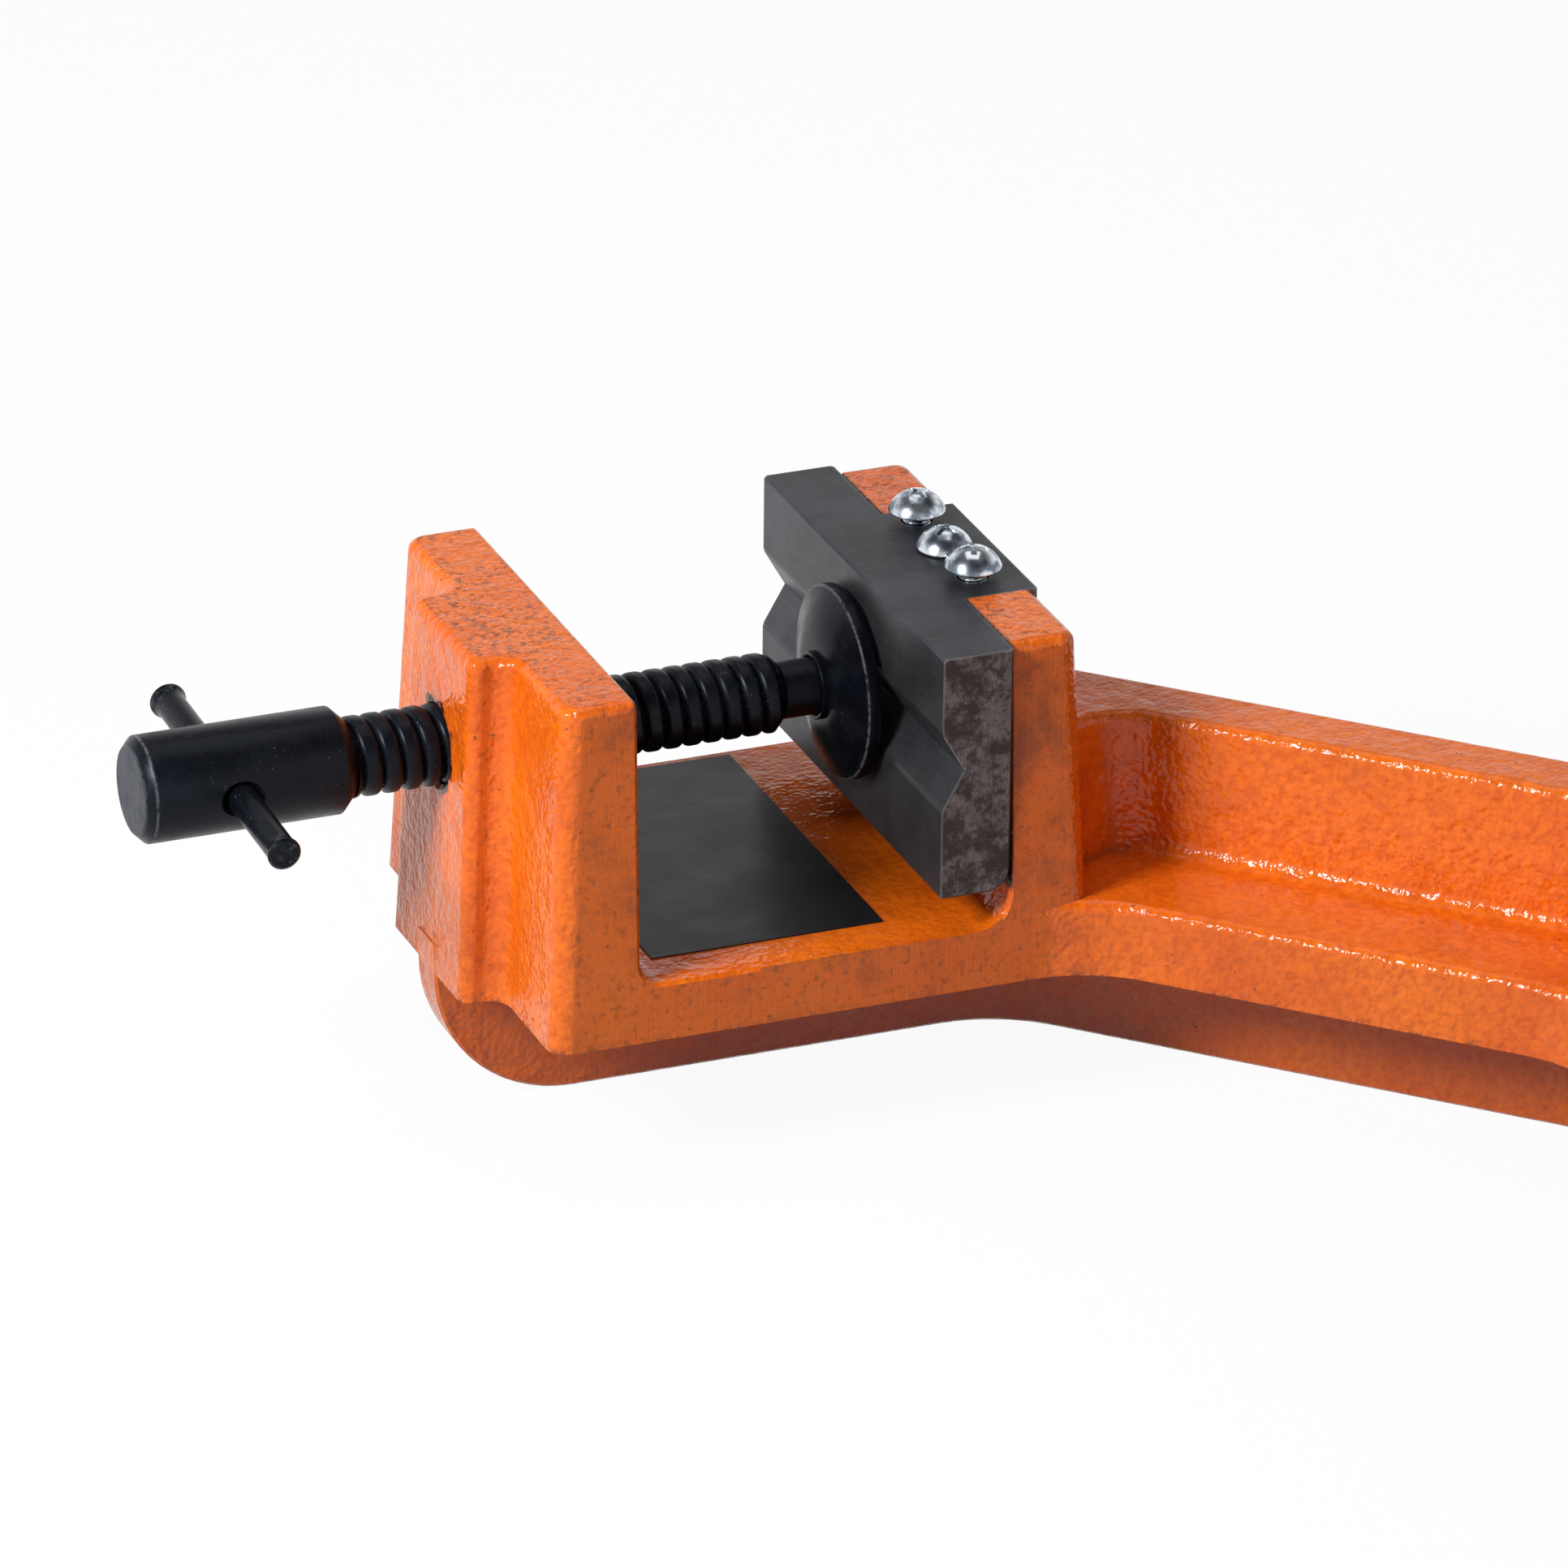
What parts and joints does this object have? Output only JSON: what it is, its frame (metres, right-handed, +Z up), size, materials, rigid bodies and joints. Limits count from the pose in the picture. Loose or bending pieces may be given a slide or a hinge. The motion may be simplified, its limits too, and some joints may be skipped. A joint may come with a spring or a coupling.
{
  "type": "corner vise",
  "caption": "Corner vise: two screw clamping heads at right angles on one painted casting, with grooved steel jaws, swivel pads and sliding tommy bars.",
  "frame": {"origin": "under the middle of the whole vise, on the surface that the keel stands on", "axes": "+Z up; +X along head A's screw towards its jaw; +Y along head B's screw towards its jaw; the two heads mirror each other in the plane x = y"},
  "size_m": [0.3682, 0.3682, 0.1127],
  "materials": {
    "frame_casting": "gloss orange enamel over a rough cast skin",
    "jaw_steel": "ground, dark",
    "screw_zinc": "bright zinc plate",
    "black_steel": "black oxide, oiled",
    "ring_steel": "plain",
    "label": "satin, blank"
  },
  "bodies": {
    "frame": {"frame_casting": "frame_casting", "bed_label": "label", "jaw_plate_a": "jaw_steel", "jaw_screw_a1": "screw_zinc", "jaw_screw_a2": "screw_zinc", "jaw_screw_a3": "screw_zinc", "jaw_plate_b": "jaw_steel", "jaw_screw_b1": "screw_zinc", "jaw_screw_b2": "screw_zinc", "jaw_screw_b3": "screw_zinc"},
    "pad_carrier_a": {"pad_ring_a": "ring_steel"},
    "screw_a": {"spindle_a": "black_steel"},
    "bar_a": {"tommy_bar_a": "black_steel"},
    "pad_a": {"swivel_pad_a": "black_steel"},
    "pad_carrier_b": {"pad_ring_b": "ring_steel"},
    "screw_b": {"spindle_b": "black_steel"},
    "bar_b": {"tommy_bar_b": "black_steel"},
    "pad_b": {"swivel_pad_b": "black_steel"}
  },
  "joints": [
    {"name": "screw_travel_a", "type": "slide", "parent": "frame", "child": "pad_carrier_a", "axis": [-1, 0, 0], "range_m": [0, 0.057]},
    {"name": "screw_turn_a", "type": "hinge", "parent": "pad_carrier_a", "child": "screw_a", "pos_m": [-0.0566, 0.1334, 0.0804], "axis": [-1, 0, 0], "range_deg": [0, 4663.64]},
    {"name": "bar_slide_a", "type": "slide", "parent": "screw_a", "child": "bar_a", "axis": [0, -0.999, -0.0436], "range_m": [-0.022, 0.022]},
    {"name": "pad_tilt_a", "type": "hinge", "parent": "pad_carrier_a", "child": "pad_a", "pos_m": [-0.0325, 0.1334, 0.0804], "axis": [0, 1, 0], "range_deg": [-2.5, 2.5]},
    {"name": "screw_travel_b", "type": "slide", "parent": "frame", "child": "pad_carrier_b", "axis": [0, -1, 0], "range_m": [0, 0.057]},
    {"name": "screw_turn_b", "type": "hinge", "parent": "pad_carrier_b", "child": "screw_b", "pos_m": [0.1334, -0.0566, 0.0804], "axis": [0, -1, 0], "range_deg": [0, 4663.64]},
    {"name": "bar_slide_b", "type": "slide", "parent": "screw_b", "child": "bar_b", "axis": [-0.999, 0, -0.0436], "range_m": [-0.022, 0.022]},
    {"name": "pad_tilt_b", "type": "hinge", "parent": "pad_carrier_b", "child": "pad_b", "pos_m": [0.1334, -0.0325, 0.0804], "axis": [1, 0, 0], "range_deg": [-2.5, 2.5]}
  ],
  "couplings": [
    {"joint": "screw_travel_a", "follows": "screw_turn_a", "m_per_rad": 0.00070028},
    {"joint": "screw_travel_b", "follows": "screw_turn_b", "m_per_rad": 0.00070028}
  ]
}
